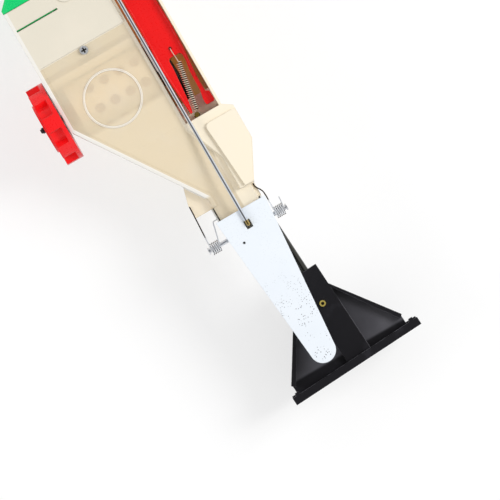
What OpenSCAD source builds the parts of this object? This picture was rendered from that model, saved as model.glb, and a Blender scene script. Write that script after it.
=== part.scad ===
// Jab planter: a hand-held seed planter with a sprung depth foot, a metering
// drum, a pull-rod and an opening beak. Millimetres, +Z up, front faces -Y,
// origin on the foot's sole in line with the beak.

/* [Housing] */
// Left wall of the seed chamber, from the middle of the beak
body_left = 97; // [90:1:104]
// Half depth of the housing
body_half = 31.5; // [31.5:0.5:34]
// Wall thickness
wall = 2.4; // [1.8:0.2:2.8]
// Half width of the outlet neck
neck_half = 20; // [18:0.5:21]
// Radius of the moulded ring
ring_r = 27; // [22:0.5:29]

/* [Drum] */
// Seed drum radius
drum_r = 28; // [24:0.5:28]
// Seed cell radius
cell_r = 5; // [3:0.5:6]
// Seed cells around the drum
cell_count = 8; // [6:1:10]
// Drum axle diameter
axle_d = 8; // [6:0.5:9]
// Knob radius
knob_r = 38.5; // [34:0.5:42]
// Knob thickness
knob_w = 16.5; // [13:0.5:20]

/* [Mechanism] */
// Lean of the foot shaft from upright, degrees
lean = 3.3; // [2.8:0.1:3.6]
// Foot shaft diameter
shaft_d = 8.5; // [7:0.5:9]
// Pull-rod diameter
rod_d = 3.5; // [3:0.1:4]
// Radial running clearance of turning and sliding fits
run = 0.05; // [0.03:0.01:0.09]
// Return spring coils
ret_turns = 24; // [18:1:26]
// Return spring wire diameter
ret_wire = 0.9; // [0.7:0.1:1]
// Torsion spring wire diameter
tor_wire = 1.2; // [1:0.1:1.3]

/* [Beak and foot] */
// Beak sheet thickness
sheet = 1.5; // [1.2:0.1:1.8]
// Beak tip radius
tip_r = 12; // [11:0.5:13]
// Foot length
foot_len = 135; // [120:1:150]
// Foot depth, front to back
foot_depth = 48; // [42:1:60]
// Height of the foot's socket
socket_h = 98; // [88:1:106]

/* [Handle] */
// Grip radius
grip_r = 15.5; // [14:0.5:17]
// Height of the grip's middle above the housing
grip_rise = 101; // [92:1:125]

/* [Hidden] */
$fn = 40;
// Clearance between pieces that pass each other, and bite of fused forms
gap = 0.4;
bite = 0.6;
far = 60;
// Heights of the housing
neck_end = 166;
neck_z = 199;
funnel_front_z = 270;
funnel_rear_z = 300;
knee_z = 313;
step_z = 376;
slit_z = 416;
body_top = 435;
guide_step = 226;
guide_shoulder = 262;
ring_z = 321;
channel_bottom = 268;
channel_top = 628;
face_top = 556;
spine_knee = 560;
spine_back_z = 600;
spine_front_z = 640;
spine_neck = 700;
spine_top = 745;
grip_z = spine_top + grip_rise;
// Widths and depths of the housing
part_x = -6;
channel_left = part_x + wall;
spine_left = -48;
spine_right = 33;
guide_right = 42;
guide_low_x = 24;
channel_right = spine_right - wall;
mouth_right = spine_left - wall;
neck_front = -24;
neck_back = 2;
inner_half = body_half - wall;
crown_half = 20;
crown_left = -32;
crown_right = 22;
ring_x = -(body_left + 1) / 2;
ring_w = 1.8;
relief = 0.8;
face_relief = 2;
ear_left = -neck_half - 19;
ear_front = -16;
ear_back = -13;
cover_t = 3;
// Drum and knob
drum_z = 328.5;
drum_play = 1.6;
hub_left = -body_left + wall + drum_play;
drum_left = funnel_left(drum_z - drum_r) + 1.21 * wall + drum_play;
drum_right = part_x - 1.4;
cell_pitch = 15.75;
cell_columns = 4;
bush_r = axle_d / 2 + 2.5;
ratchet_r = 20.5;
knob_x = -body_left - 1.5;
knob_end = knob_x - knob_w - 2;
// Shaft and foot
foot_x = 24.4;
foot_z = 68;
shaft_y = 17;
shaft_bush_r = shaft_d / 2 + 2.25;
shaft_seat = 8;
lug_low = 334.4;
lug_high = 342.6;
lug_back = shaft_y + shaft_d / 2 + 4.75;
clip_t = 2;
shaft_over = 7;
shaft_way_top = 480;
// Pull-rod and its arm
rod_y = -body_half - 5.45;
rod_low = 162;
rod_len = 500;
arm_z = 500;
arm_h = 6;
stroke = 50;
eye_z = 634;
eye_h = 8;
// Beak
beak_left = -neck_half - 5;
beak_right = neck_half + 5.6;
tip_x = 1.4;
tip_z = 30;
flap_top = 177;
flap_bend = 150;
flap_front = rod_y + rod_d / 2 + gap;
rear_top = 192;
rear_back = neck_back + bite + sheet;
nest = 0.8;
hinge_y = -22;
hinge_z = 158.4;
pin_r = 2;
pin_head_r = 3.2;
pin_head_t = 1.3;
beak_screw_x = 10;
beak_screw_z = 182;
beak_screw_r = 1.5;
beak_head_r = 3;
beak_head_t = 1.9;
// Screws: pan heads, housing screws as X and Z
screw_r = 2;
screw_head_r = 3.9;
screw_head_t = 2.4;
boss_r = 4.5;
screws = [[-50, 371.5], [-28, 470], [-28, 600]];
screw_end = 21;
// Screw of the guide's cover, driven from behind
guide_screw = [34, 240];
guide_screw_tip = body_half + cover_t - 1.2;
grip_screws = [-20, 10];
grip_screw_z = 728;
// Anchor pin of the return spring, its hook's hole in the slider
anchor = [9.3, 270.5];
anchor_r = 1.5;
hook = [18, 334.6];
slider_front = -24;
slider_back = -10;
rib_y = -7;
rib_t = 2.6;
ivory = [0.93, 0.87, 0.74];
cream = [0.8, 0.72, 0.6];
red = [0.85, 0.05, 0.05];
steel = [0.7, 0.72, 0.74];
black = [0.12, 0.12, 0.13];
brass = [0.78, 0.6, 0.25];
white = [0.9, 0.92, 0.95];
green = [0.1, 0.75, 0.45];

// A front-view outline (X, Z) carried from y0 to y1
module slab(y0, y1) translate([0, y1, 0]) rotate([90, 0, 0]) linear_extrude(y1 - y0) children();
// A side-view outline (Y, Z) carried from x0 to x1
module prof(x0, x1) translate([x0, 0, 0]) rotate([90, 0, 90]) linear_extrude(x1 - x0) children();
module xcyl(x0, x1, y, z, r) translate([x0, y, z]) rotate([0, 90, 0]) cylinder(h = x1 - x0, r = r);
module ycyl(x, z, y0, y1, r) translate([x, y0, z]) rotate([-90, 0, 0]) cylinder(h = y1 - y0, r = r);
module box(a, b) translate(a) cube(b - a);

function unit(v) = v / norm(v);
function before(p, i) = p[(i + len(p) - 1) % len(p)];
function after(p, i) = p[(i + 1) % len(p)];
function left_of(v) = [-v[1], v[0]];
// Corner shift between two edges, from their inward normals
function mitre(n, m) = (n + m) / (1 + n * m);
// Outline moved inwards by d; its points run anticlockwise
function inset(p, d) = [for (i = [0:len(p) - 1])
    p[i] + d * mitre(left_of(unit(p[i] - before(p, i))), left_of(unit(after(p, i) - p[i])))];
// Arc of radius r about c, from angle a to angle b
function arc(c, r, a, b, n = 6) = [for (k = [0:n])
    c + r * [cos(a + (b - a) * k / n), sin(a + (b - a) * k / n)]];

// The leaning frame of the foot: its Z runs up the shaft, 0 at the sole
sole = (foot_z - foot_x * tan(lean)) * cos(lean);
module leaning() translate([foot_x, 0, foot_z]) rotate([0, -lean, 0]) translate([0, 0, -sole]) children();
// Distance up the shaft to a height, and the shaft's place there
function along(z) = (z - foot_z) / cos(lean) + sole;
shaft_end = along(lug_high + 2 * gap) + clip_t + shaft_over;
function shaft_x(z) = foot_x - (z - foot_z) * tan(lean);
module shaft_path(r) leaning() translate([0, shaft_y, 0]) cylinder(h = along(shaft_way_top), r = r);

// Tube swept along a path of points, six sides, closed ends
function tangent(p, i) = unit(p[min(i + 1, len(p) - 1)] - p[max(i - 1, 0)]);
function carry(n, t) = unit(n - t * (n * t));
function normals(p, n0) = [for (i = 0, n = carry(n0, tangent(p, 0)); i < len(p);
    i = i + 1, n = i < len(p) ? carry(n, tangent(p, i)) : n) n];
module tube(p, r, n0) {
    s = 6;
    ns = normals(p, n0);
    pts = [for (i = [0:len(p) - 1]) let (n = ns[i], b = cross(tangent(p, i), n))
        for (k = [0:s - 1]) p[i] + r * (cos(60 * k) * n + sin(60 * k) * b)];
    last = (len(p) - 1) * s;
    rings = [for (i = [0:len(p) - 2]) i * s];
    polyhedron(pts, concat(
        [for (a = rings) for (k = [0:s - 1]) [a + k, a + s + (k + 1) % s, a + (k + 1) % s]],
        [for (a = rings) for (k = [0:s - 1]) [a + k, a + s + k, a + s + (k + 1) % s]],
        [for (k = [1:s - 2]) [0, k, k + 1]],
        [for (k = [1:s - 2]) [last, last + k + 1, last + k]]));
}
// Least distance between the wire's own surfaces, points at least a curl apart
function selfgap(p, r, apart) = min([for (i = [0:len(p) - 1]) for (j = [i + apart:1:len(p) - 1])
    norm(p[i] - p[j])]) - 2 * r;

// Left and right walls of the funnel at a height
function funnel_left(z) = -neck_half - (z - neck_z) * (body_left - neck_half) / (knee_z - neck_z);
function funnel_x(z) = neck_half
    + (channel_left - neck_half) * (z - neck_z - 1) / (channel_bottom - neck_z - 7);
// Seed chamber with its funnel and neck, front view, down to an open end
function chamber(end) = [[-body_left, body_top], [-body_left, knee_z], [-neck_half, neck_z],
    [-neck_half, end], [neck_half, end], [neck_half, neck_z + 1],
    [channel_left, channel_bottom - 6], [channel_left, body_top]];
// The same from the side
function chamber_side() = [[-body_half, body_top + 5], [-body_half, funnel_front_z], [neck_front, neck_z + 6],
    [neck_front, neck_end - 6], [neck_back, neck_end - 6], [neck_back, neck_z + 1],
    [body_half, funnel_rear_z], [body_half, body_top + 5]];
// Shaft guide under the mechanism channel, front view
function guide() = [[part_x, body_top], [part_x, channel_bottom - 2],
    [funnel_x(guide_step) - 0.2, guide_step], [funnel_x(guide_step) - 0.2, neck_z - 6],
    [guide_low_x, neck_z - 6], [guide_right, guide_step + 2], [guide_right, guide_shoulder],
    [spine_right, channel_bottom], [spine_right, body_top]];
// Its hollow, which keeps off the neck
function guide_hollow() = [[channel_left + 0.4, channel_bottom + 1],
    [funnel_x(guide_step) + 2.9, guide_step + 2],
    [neck_half + wall, neck_z + 6], [neck_half + wall, neck_z - 2],
    [neck_half + wall + 1.1, neck_z - 3.5], [guide_right - wall, guide_step + 3],
    [guide_right - wall, guide_shoulder - 1],
    [channel_right, channel_bottom - 1], [channel_right, channel_bottom + 1]];
// Upper body, front view and side view
function spine(low, high) = [[spine_left, low], [spine_right, low], [spine_right, spine_front_z],
    [crown_right, spine_neck], [crown_right, high], [crown_left, high],
    [crown_left, spine_neck], [spine_left, spine_knee]];
function spine_side() = [[-body_half, body_top - 10], [body_half, body_top - 10], [body_half, spine_back_z],
    [crown_half, spine_neck], [crown_half, spine_top + 5], [-crown_half, spine_top + 5],
    [-crown_half, spine_neck], [-body_half, spine_front_z]];

module housing_solid() {
    difference() {
        union() {
            intersection() {
                slab(-far, far) polygon(chamber(neck_end));
                prof(-2 * far, far) polygon(chamber_side());
            }
            slab(-body_half, body_half) polygon(guide());
            intersection() {
                slab(-far, far) polygon(spine(body_top - 5, spine_top));
                prof(-2 * far, far) polygon(spine_side());
            }
        }
        // seed chamber, funnel and neck
        intersection() {
            slab(-far, far) polygon(inset(chamber(neck_end - 2 * wall), wall));
            prof(-2 * far, far) polygon(inset(chamber_side(), wall));
        }
        // filling mouth
        box([-body_left + wall, -inner_half, body_top - 15], [mouth_right, inner_half, body_top + 1]);
        // spine and mechanism channel, with the partition and the channel's ceiling left standing
        difference() {
            intersection() {
                slab(-far, far) polygon(inset(spine(body_top - wall, spine_top + 2 * wall), wall));
                prof(-2 * far, far) polygon(inset(spine_side(), wall));
            }
            box([part_x, -far, body_top - 35], [channel_left, far, channel_top + 2]);
            box([part_x, -far, channel_top], [far, far, channel_top + 3]);
        }
        box([channel_left, -inner_half, channel_bottom], [channel_right, inner_half, body_top + 5]);
        // hollow of the shaft guide
        slab(-inner_half, inner_half) polygon(guide_hollow());
        box([funnel_x(guide_step) + 2.3, neck_back + 6, neck_z - 6 + wall],
            [guide_low_x, inner_half, channel_bottom + 1]);
        // open front of the mechanism channel
        box([channel_left, -far, channel_bottom], [channel_right, slider_front + 4, channel_top]);
        lid_slit();
        // bearings
        xcyl(-body_left - 1, -body_left + wall + 1, 0, drum_z, bush_r);
        xcyl(part_x - 1, channel_left + 1.6, 0, drum_z, bush_r);
        shaft_path(shaft_bush_r);
    }
    for (s = concat(screws, [guide_screw])) ycyl(s[0], s[1], -body_half + 1, body_half - 1, boss_r);
    // rib that carries the spring pin
    box([channel_left - 1, rib_y, channel_bottom - 4],
        [channel_right + 1, rib_y + rib_t, channel_bottom + 19]);
}
module lid_slit() box([-body_left + 3, -far, slit_z - 0.8], [mouth_right - 1.6, slider_front, slit_z + 0.8]);

module front_shell() color(ivory) difference() {
    union() {
        intersection() {
            housing_solid();
            box([-3 * far, -far, neck_end - far], [far, 0, spine_top + far]);
        }
        rim();
        // step across the face of the seed chamber
        difference() {
            box([-body_left, -body_half - relief, step_z], [part_x, -body_half + bite, body_top]);
            lid_slit();
        }
        // moulded ring
        difference() {
            ycyl(ring_x, ring_z, -body_half - relief, -body_half + bite, ring_r);
            ycyl(ring_x, ring_z, -body_half - 2 * relief, -body_half + 2 * bite, ring_r - ring_w);
        }
        // raised face of the spine, rounded at its lower corner
        slab(-body_half - face_relief, -body_half + bite) polygon(concat(
            arc([spine_left + 8, slit_z + 9], 8, 180, 270),
            [[part_x, slit_z + 1], [part_x, face_top], [spine_left, face_top]]));
        // rod eye above the channel
        box([-5, rod_y - 4.05, eye_z], [5, -body_half + 3.5, eye_z + eye_h]);
        // spring ears beside the neck
        slab(ear_front, ear_back) polygon([[ear_left, neck_z - 9], [-neck_half + 1, neck_z - 9],
            [-neck_half + 1, neck_z], [ear_left + 5, neck_z + 23], [ear_left, neck_z + 4]]);
        box([neck_half - 1, ear_front, neck_z - 20], [neck_half + 3.4, ear_back, neck_z + 1]);
    }
    for (s = concat(screws, [guide_screw])) ycyl(s[0], s[1], -far, 1, screw_r + 0.1);
    ycyl(anchor[0], anchor[1], -far, 1, anchor_r);
    for (x = grip_screws) ycyl(x, grip_screw_z, -crown_half - 10, -crown_half + 10, screw_r + 0.1);
    translate([0, rod_y, eye_z - 30]) cylinder(h = far, r = rod_d / 2 + run);
}
// Raised rim along the left edge and the funnel
module rim() intersection() {
    slab(-far, slider_front + 4) difference() {
        polygon(chamber(neck_end));
        polygon(inset(chamber(neck_end - 10), 5));
    }
    difference() {
        prof(-2 * far, -neck_half + 4) polygon(inset(chamber_side(), -relief));
        prof(-2 * far - 1, far) polygon(inset(chamber_side(), 1));
    }
    box([-2 * far, -far, neck_z - 9], [-neck_half + 4, slider_front + 4, step_z + 1]);
}
module rear_shell() color(ivory) difference() {
    intersection() {
        housing_solid();
        box([-3 * far, 0, neck_end - far], [far, far, spine_top + far]);
    }
    for (s = screws) ycyl(s[0], s[1], -1, screw_end + 1, screw_r);
    ycyl(guide_screw[0], guide_screw[1], -1, far, screw_r + 0.1);
    for (x = [-beak_screw_x, beak_screw_x]) ycyl(x, beak_screw_z, -5, 5, beak_screw_r);
}
module guide_cover() color(ivory) difference() {
    slab(-body_half - cover_t, -body_half) polygon(concat(
        [[15, neck_z - 5.5], [guide_low_x - 0.5, neck_z - 5.5], [guide_right - 0.3, guide_step + 2.5]],
        arc([guide_right - 3.3, guide_shoulder - 6], 3, 0, 90),
        arc([15, guide_shoulder - 7.5], 4.5, 90, 180)));
    ycyl(guide_screw[0], guide_screw[1], -guide_screw_tip, 1, screw_r);
}

// Pan-head screw with a cross recess, from the front face y0, in to y1
recess_half = 0.7;
recess_reach = 2.6;
recess_deep = 1.2;
module screw(x, z, y0, y1) difference() {
    union() {
        ycyl(x, z, y0 - screw_head_t, y0, screw_head_r);
        ycyl(x, z, y0 - 0.1, y1, screw_r);
    }
    for (a = [[recess_half, recess_reach], [recess_reach, recess_half]])
        box([x - a[0], y0 - 2 * screw_head_t, z - a[1]],
            [x + a[0], y0 - screw_head_t + recess_deep, z + a[1]]);
}
module shell_screw_1() color(steel) screw(screws[0][0], screws[0][1], -body_half, screw_end);
module shell_screw_2() color(steel) screw(screws[1][0], screws[1][1], -body_half - face_relief, screw_end);
module shell_screw_3() color(steel) screw(screws[2][0], screws[2][1], -body_half, screw_end);
module shell_screw_4() color(steel) mirror([0, 1, 0])
    screw(guide_screw[0], guide_screw[1], -body_half, guide_screw_tip);

// Wiper from the front wall to the drum
wiper_z = 366.4;
wiper_t = 5.5;
wiper_tip = [-(drum_r + 1.5) * cos(60), drum_z + (drum_r + 1.5) * sin(60)];
module seed_wiper() color(cream) prof(hub_left - 1, drum_right - 0.6)
    polygon([[-inner_half, wiper_z], [-inner_half, wiper_z - wiper_t], wiper_tip, wiper_tip + [1, 1.5]]);
// Leaf spring from the rear wall to the ratchet's teeth
leaf_z = 352;
leaf_t = 3;
leaf_tip = [(ratchet_r + 1) * cos(20), drum_z + (ratchet_r + 1) * sin(20)];
module ratchet_leaf() color(steel) prof(channel_left + 0.8, channel_left + 3.6)
    polygon([[inner_half, leaf_z], [inner_half, leaf_z - leaf_t], leaf_tip + [0.9, -0.4], leaf_tip]);
module axle_bush_left() color(brass) difference() {
    xcyl(-body_left - bite, -body_left + wall + 1.2, 0, drum_z, bush_r);
    xcyl(-body_left - 2, -body_left + wall + 2, 0, drum_z, axle_d / 2 + run);
}
module axle_bush_right() color(brass) difference() {
    xcyl(part_x - 0.2, channel_left + 0.2, 0, drum_z, bush_r);
    xcyl(part_x - 2, channel_left + 2, 0, drum_z, axle_d / 2 + run);
}
module shaft_bush() color(brass) difference() {
    leaning() translate([0, shaft_y, along(neck_z - 9)]) cylinder(h = 26, r = shaft_bush_r);
    shaft_path(shaft_d / 2 + run);
    box([0, 0, neck_end - 10], [far, far, neck_z - 6]);
}
module spring_pin() color(brass) union() {
    ycyl(anchor[0], anchor[1], slider_front - 3.5, rib_y + rib_t, anchor_r);
    ycyl(anchor[0], anchor[1], slider_front - 4.5, slider_front - 3.4, anchor_r + 0.9);
}

// Return spring: hook in the slider, coil, eye round the pin
ret_y = slider_front;
ret_top = [18.6, ret_y, 320];
ret_bot = [11.2, ret_y, anchor[1] + 4];
ret_axis = unit(ret_bot - ret_top);
ret_side = cross(ret_axis, [0, 1, 0]);
ret_r = 2.3;
hook_front = ret_y - 1.6;
ret_hook = [[hook[0], ret_y + 7, hook[1]], [hook[0], ret_y + 3, hook[1]], [hook[0], ret_y, hook[1]],
    [hook[0], ret_y - 1.2, hook[1] - 0.6], [hook[0], hook_front, hook[1] - 2.2],
    [hook[0] + 0.2, hook_front, hook[1] - 7], [hook[0] + 0.5, hook_front, hook[1] - 11]];
ret_eye = [for (a = [60:-40:-180]) [anchor[0] + (anchor_r + 1) * cos(a), ret_y + (60 - a) / 300,
    anchor[1] + (anchor_r + 1) * sin(a)]];
function ret_coil() = [for (i = [0:8 * ret_turns]) let (a = 45 * i, f = i / (8 * ret_turns))
    ret_top + (ret_bot - ret_top) * f + ret_r * (cos(a) * [0, -1, 0] + sin(a) * ret_side)];
function ret_path() = concat(ret_hook, ret_coil(), ret_eye);
module return_spring() color(steel) tube(ret_path(), ret_wire / 2, [1, 0, 0]);

// Torsion springs: a long leg on the housing ear, a hooked leg on the flap
tor_r = 5;
tor_turns = 5;
tor_out = beak_left - 15.5;
tor_in = beak_left - 6.5;
tor_near = beak_right + 0.8;
tor_far = beak_right + 9.6;
hook_y = hinge_y - tor_r - 1;
function coil(x0, x1) = [for (i = [0:8 * tor_turns]) let (a = 45 * i)
    [x0 + (x1 - x0) * i / (8 * tor_turns), hinge_y - tor_r * cos(a), hinge_z - tor_r * sin(a)]];
function tor_left() = concat(
    [[tor_out + 2.1, ear_front - 1.4, neck_z + 3], [tor_out + 1.9, ear_front - 1.6, neck_z - 3],
        [tor_out + 0.7, hinge_y - 2, hinge_z + 13.6]],
    coil(tor_out, tor_in),
    [[tor_in + 1.1, hook_y, hinge_z + 6.1], [tor_in + 3.1, hook_y - 0.5, flap_top - 4.5],
        [tor_in + 4.5, hook_y - 1, flap_top + 1.4], [tor_in + 6.1, hook_y - 1, flap_top + 2.6],
        [tor_in + 9.5, hook_y - 1, flap_top + 2.8]]);
function tor_right() = concat(
    [[neck_half + 2.2, ear_front - 1.2, neck_z - 7.2], [neck_half + 2.4, ear_front - 1.2, neck_z - 11],
        [tor_near - 0.2, hinge_y + 2.5, flap_top + 4], [tor_near + 0.2, hinge_y - 3, hinge_z + 11.6]],
    coil(tor_near, tor_far),
    [[tor_far + 0.7, hook_y + 0.4, hinge_z + 6.6], [tor_far + 1, hook_y + 0.4, hinge_z + 11.6]]);
module torsion_spring_left() color(steel) tube(tor_left(), tor_wire / 2, [1, 0, 0]);
module torsion_spring_right() color(steel) tube(tor_right(), tor_wire / 2, [1, 0, 0]);
echo("return spring gap", selfgap(ret_path(), ret_wire / 2, 6));
echo("left torsion gap", selfgap(tor_left(), tor_wire / 2, 6));
echo("right torsion gap", selfgap(tor_right(), tor_wire / 2, 6));

// Beak halves: shallow trays, the rear one nested inside the front one
module beak_outline(d, top) {
    polygon([[beak_left + d, top], [beak_left + d, flap_top], [tip_x - tip_r + d, tip_z],
        [tip_x + tip_r - d, tip_z], [beak_right - d, flap_top], [beak_right - d, top]]);
    translate([tip_x, tip_z]) circle(r = tip_r - d);
}
tip_low = tip_z - tip_r - 1;
flap_tip = -20;
flap_tip_back = -14.5;
flap_back = -17;
flap_hole = [-11.7, 149];
flap_hole_r = 1.2;
rod_slot = 1.25;
module beak_flap() color(white) difference() {
    intersection() {
        slab(-far, 0) beak_outline(0, flap_top);
        prof(-far, far) polygon([[flap_front, flap_top], [flap_front, flap_bend], [flap_tip, tip_low],
            [flap_tip_back, tip_low], [flap_back, flap_bend], [flap_back, flap_top]]);
    }
    intersection() {
        slab(-far, 0) beak_outline(sheet, flap_top + 1);
        prof(-far, far) polygon([[flap_front + sheet, flap_top + 1], [flap_front + sheet, flap_bend],
            [flap_tip + sheet, tip_low - 1], [0, tip_low - 1], [0, flap_top + 1]]);
    }
    xcyl(-far, far, hinge_y, hinge_z, pin_r + run);
    box([-rod_d / 2 - rod_slot, flap_front - 5, rod_low - 4],
        [rod_d / 2 + rod_slot, flap_front + 5, rod_low + 4]);
    ycyl(flap_hole[0], flap_hole[1], flap_front - 5, flap_front + 5, flap_hole_r);
}
// The rear half has cheeks that reach forward to the hinge
cheek_front = -26;
cheek_back = -10;
cheek_top = 172;
rear_tip = -16.5;
rear_tip_back = -11.5;
module beak_rear() color(white) difference() {
    intersection() {
        slab(-far, far) beak_outline(sheet + nest, rear_top);
        prof(-far, far) polygon([[cheek_front, cheek_top], [cheek_front, flap_bend - 2],
            [rear_tip, tip_low], [rear_tip_back, tip_low], [rear_back, flap_bend], [rear_back, rear_top],
            [cheek_back + 2, rear_top], [cheek_back, cheek_top + 4]]);
    }
    intersection() {
        slab(-far, far) beak_outline(2 * sheet + nest, rear_top + 1);
        prof(-far, far) polygon([[-far, rear_top + 1], [-far, tip_low - 1],
            [rear_tip_back - sheet, tip_low - 1], [rear_back - sheet, flap_bend],
            [rear_back - sheet, rear_top + 1]]);
    }
    xcyl(-far, far, hinge_y, hinge_z, pin_r);
    for (x = [-beak_screw_x, beak_screw_x]) ycyl(x, beak_screw_z, -5, 8, beak_screw_r + 0.1);
}
module rear_screw(x) {
    ycyl(x, beak_screw_z, rear_back, rear_back + beak_head_t, beak_head_r);
    ycyl(x, beak_screw_z, neck_back - 1.7, rear_back + 0.1, beak_screw_r);
}
module beak_screw_left() color(steel) rear_screw(-beak_screw_x);
module beak_screw_right() color(steel) rear_screw(beak_screw_x);
// Hinge stubs through both beak halves, out to the torsion springs
stub_in = 2 * sheet + nest + bite;
module hinge_stub_left() color(steel) {
    xcyl(tor_out - 1.7, beak_left + stub_in, hinge_y, hinge_z, pin_r);
    xcyl(tor_out - 1.6 - pin_head_t, tor_out - 1.6, hinge_y, hinge_z, pin_head_r);
}
module hinge_stub_right() color(steel) {
    xcyl(beak_right - stub_in, tor_far + 1.8, hinge_y, hinge_z, pin_r);
    xcyl(tor_far + 1.7, tor_far + 1.7 + pin_head_t, hinge_y, hinge_z, pin_head_r);
}

// Handle: a tongue in the spine, a yoke and a round bar
tongue_half = crown_half - wall - gap;
yoke_half = 14;
bar_r = grip_r - 5;
yoke_left = -62;
yoke_right = 52;
yoke_corner = 11;
yoke_drop = 60;
tongue_len = 33;
hand_drop = 46;
hand_corner = 10;
module handle() color(black) difference() {
    union() {
        box([crown_left + wall + gap, -tongue_half, spine_top - tongue_len],
            [crown_right - wall - gap, tongue_half, spine_top + 1]);
        difference() {
            slab(-yoke_half, yoke_half) polygon(concat(
                [[crown_left, spine_top], [crown_right, spine_top], [yoke_right, grip_z - yoke_drop]],
                arc([yoke_right - yoke_corner, grip_z], yoke_corner, 0, 90),
                arc([yoke_left + yoke_corner, grip_z], yoke_corner, 90, 180),
                [[yoke_left, grip_z - yoke_drop]]));
            slab(-yoke_half - 1, yoke_half + 1) polygon(concat(
                arc([yoke_left + 28, grip_z - hand_drop], hand_corner, 180, 270),
                arc([yoke_right - 28, grip_z - hand_drop], hand_corner, 270, 360),
                [[yoke_right - 12, grip_z + 24], [yoke_left + 12, grip_z + 24]]));
        }
        xcyl(yoke_left + 10, yoke_right - 10, 0, grip_z, bar_r);
    }
    for (x = grip_screws) ycyl(x, grip_screw_z, -crown_half - 10, 10, screw_r);
}
sleeve_left = yoke_left + 16;
sleeve_right = yoke_right - 16;
sleeve_ribs = 10;
rib_gap = 2.5;
sleeve_pitch = (sleeve_right - sleeve_left + rib_gap) / sleeve_ribs;
module grip_sleeve() color(black) difference() {
    union() {
        xcyl(sleeve_left, sleeve_right, 0, grip_z, grip_r - 0.8);
        for (k = [0:sleeve_ribs - 1]) translate([sleeve_left + sleeve_pitch * k, 0, 0])
            xcyl(0, sleeve_pitch - rib_gap, 0, grip_z, grip_r);
    }
    xcyl(-2 * far, far, 0, grip_z, bar_r);
}
module handle_screw_left() color(steel) screw(grip_screws[0], grip_screw_z, -crown_half, 6);
module handle_screw_right() color(steel) screw(grip_screws[1], grip_screw_z, -crown_half, 6);

// Foot and shaft, in the leaning frame
foot_half = foot_len / 2;
foot_mid = -4.7;
sole_front = -2;
sole_back = sole_front + foot_depth;
plate_t = 3;
lip_h = 7.5;
nib_w = 4;
nib_h = 2.5;
socket_half = 12.4;
socket_front = 6;
socket_back = 29;
// Cross screw, a little beside the shaft's middle
cross_x = -2;
cross_z = sole - 2;
cross_r = 1.6;
cross_head = 2.9;
cross_socket = 1.5;
module foot_shaft() color(steel) leaning() difference() {
    translate([0, shaft_y, shaft_seat]) cylinder(h = shaft_end - shaft_seat, r = shaft_d / 2);
    ycyl(cross_x, cross_z, -5, shaft_y + 2, cross_r);
}
module foot() color(black) leaning() difference() {
    union() {
        translate([foot_mid, 0, 0]) {
            box([-foot_half, sole_front, 0], [foot_half, sole_back, plate_t]);
            for (y = [sole_front, sole_back - plate_t])
                box([-foot_half, y, 0], [foot_half, y + plate_t, lip_h]);
            for (x = [-foot_half + nib_w, foot_half - 2 * nib_w])
                box([x, sole_front, lip_h - bite], [x + nib_w, sole_front + 6, lip_h + nib_h]);
        }
        box([-socket_half, socket_front, 0], [socket_half, socket_back, socket_h]);
        gusset(1, foot_half + foot_mid - 10, socket_h - 20);
        gusset(-1, foot_half - foot_mid - 5, socket_h - 2);
    }
    translate([0, shaft_y, shaft_seat]) cylinder(h = 2 * socket_h, r = shaft_d / 2);
    ycyl(cross_x, cross_z, 0, shaft_y, cross_r + 0.2);
}
// Gusset on one side of the socket: a flange sloping from top to reach, over a thin web
flange_end = 17;
flange_t = 4;
web_t = 3;
module gusset(side, reach, top) mirror([side < 0 ? 1 : 0, 0, 0]) {
    slab(socket_front, socket_back) polygon([[socket_half - bite, top - flange_t],
        [reach - 3, flange_end - 3], [reach, flange_end], [socket_half - bite, top]]);
    slab(shaft_y - 2, shaft_y - 2 + web_t) polygon([[socket_half - 1, top - flange_t / 2],
        [socket_half - 1, plate_t - 1], [reach - 1, plate_t - 1], [reach - 1, flange_end - 1]]);
}
module foot_screw() color(brass) leaning() difference() {
    union() {
        ycyl(cross_x, cross_z, socket_front - screw_head_t, socket_front, cross_head);
        ycyl(cross_x, cross_z, socket_front - 0.1, shaft_y + 1, cross_r);
    }
    ycyl(cross_x, cross_z, socket_front - screw_head_t - 1, socket_front - 0.6, cross_socket);
}
module clip(z) leaning() translate([0, shaft_y, z]) difference() {
    cylinder(h = clip_t, r = shaft_d / 2 + 2.75);
    translate([0, 0, -1]) cylinder(h = clip_t + 2, r = shaft_d / 2);
}
module shaft_clip_upper() color(steel) clip(along(lug_high + 2 * gap));
module shaft_clip_lower() color(steel) clip(along(lug_low - 2 * gap) - clip_t);

// Red slider: a fork with a lug for the shaft and an arm for the pull-rod
slider_top = 540;
prong_z = 274;
crotch_z = 327;
lug_x = shaft_x((lug_low + lug_high) / 2) + 0.6;
lug_slot = shaft_d / 2 + 0.6;
lug_left = 2.6;
lug_right = 22;
edge_relief = 1.4;
prong_r = 1;
toe_r = 2;
crotch_r = 3;
left_toe = 6.2;
right_toe = [23, 28];
crotch_x = [14.6, 22];
left_edge = [[2.4, slider_top], [2.4, 345], [1.4, 320], [4.6, prong_z]];
left_relief = [[6, prong_z], [3.4, 320], [4.2, 345], [4.2, slider_top]];
left_inside = [[8.8, 285], [11.6, 318]];
right_inside = [[25, 318], [23.2, 308], [22.6, 288], [21, 280]];
right_ankle = [[29.8, 284], [26.6, 286]];
right_edge = [[26.6, 302], [28.6, 324], [30, 354], [28, 400], [26, slider_top]];
right_relief = [[24.4, slider_top], [26.4, 400], [28.4, 354], [27, 324], [25, 302]];
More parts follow.
